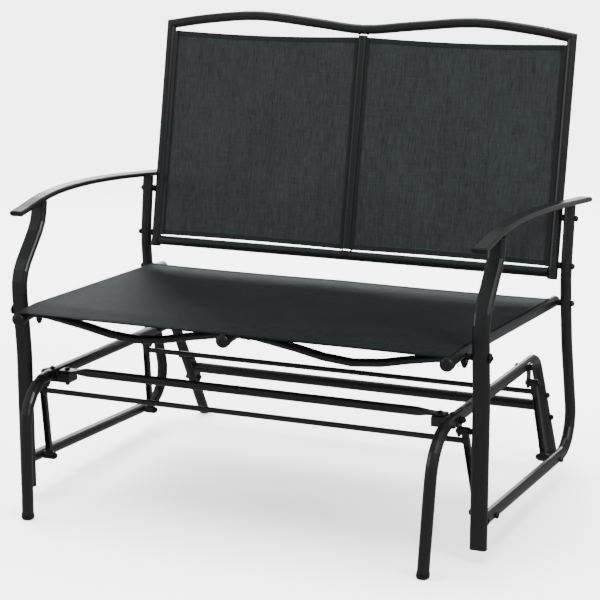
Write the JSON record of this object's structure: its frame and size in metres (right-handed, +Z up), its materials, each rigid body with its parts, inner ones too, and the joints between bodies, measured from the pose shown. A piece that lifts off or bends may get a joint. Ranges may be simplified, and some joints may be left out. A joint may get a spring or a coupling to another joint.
{
  "type": "porch swing glider bench",
  "caption": "Wide garden glider bench: black steel tube frame with taut sling seat and back that swings on hangers in a fixed base.",
  "frame": {"origin": "on the floor, in the middle of the bench's footprint", "axes": "+X across the bench towards its right end seen from the front, -Y towards the front, +Z up"},
  "size_m": [1.0786, 0.9071, 1.0175],
  "materials": {
    "frame": "satin black powder coat on steel tube",
    "foot_caps": "matte black moulded plastic",
    "fasteners": "semi-gloss black coated steel",
    "back_fabric": "woven mesh sling cloth, blue-grey with streaks up the back",
    "seat_fabric": "woven mesh sling cloth, dark grey with streaks across the seat"
  },
  "bodies": {
    "base": {"front_crossbar": "frame", "rear_crossbar": "frame", "base_side_frame_left": "frame", "foot_cap_front_left": "foot_caps", "foot_cap_rear_left": "foot_caps", "crossbar_bracket_left": "frame", "hanger_bracket_front_left": "frame", "hanger_bracket_rear_left": "frame", "rear_crossbar_bolt_upper_left": "fasteners", "rear_crossbar_bolt_lower_left": "fasteners", "top_pivot_bolt_front_left": "fasteners", "top_pivot_bolt_rear_left": "fasteners", "base_side_frame_right": "frame", "foot_cap_front_right": "foot_caps", "foot_cap_rear_right": "foot_caps", "crossbar_bracket_right": "frame", "hanger_bracket_front_right": "frame", "hanger_bracket_rear_right": "frame", "rear_crossbar_bolt_upper_right": "fasteners", "rear_crossbar_bolt_lower_right": "fasteners", "top_pivot_bolt_front_right": "fasteners", "top_pivot_bolt_rear_right": "fasteners"},
    "front_hanger": {"front_hanger_rod": "frame", "front_hanger_link_left": "frame", "front_hanger_link_right": "frame"},
    "rear_hanger": {"rear_hanger_rod": "frame", "rear_hanger_link_left": "frame", "rear_hanger_link_right": "frame"},
    "swing": {"seat_rail_centre": "frame", "seat_rear_tube": "frame", "seat_sling": "seat_fabric", "back_top_rail": "frame", "back_bottom_rail": "frame", "back_centre_upright": "frame", "front_post_left": "frame", "swing_side_tube_left": "frame", "armrest_left": "frame", "seat_rail_left": "frame", "seat_spreader_left": "frame", "back_upright_left": "frame", "back_sling_left": "back_fabric", "low_pivot_bolt_front_left": "fasteners", "low_pivot_bolt_rear_left": "fasteners", "back_bolt_upper_left": "fasteners", "back_bolt_lower_left": "fasteners", "seat_rear_bolt_left": "fasteners", "seat_front_bolt_left": "fasteners", "front_post_right": "frame", "swing_side_tube_right": "frame", "armrest_right": "frame", "seat_rail_right": "frame", "seat_spreader_right": "frame", "back_upright_right": "frame", "back_sling_right": "back_fabric", "low_pivot_bolt_front_right": "fasteners", "low_pivot_bolt_rear_right": "fasteners", "back_bolt_upper_right": "fasteners", "back_bolt_lower_right": "fasteners", "seat_rear_bolt_right": "fasteners", "seat_front_bolt_right": "fasteners"}
  },
  "joints": [
    {"name": "glide", "type": "hinge", "parent": "base", "child": "front_hanger", "pos_m": [0, -0.304, 0.2645], "axis": [1, 0, 0], "range_deg": [-30, 4]},
    {"name": "rear_hanger_turn", "type": "hinge", "parent": "base", "child": "rear_hanger", "pos_m": [0, 0.1745, 0.2425], "axis": [1, 0, 0], "range_deg": [-30, 4]},
    {"name": "swing_level", "type": "hinge", "parent": "front_hanger", "child": "swing", "pos_m": [0, -0.258, 0.0825], "axis": [1, 0, 0], "range_deg": [-4, 30]}
  ],
  "couplings": [
    {"joint": "rear_hanger_turn", "follows": "glide", "ratio": 1},
    {"joint": "swing_level", "follows": "glide", "ratio": -1}
  ]
}
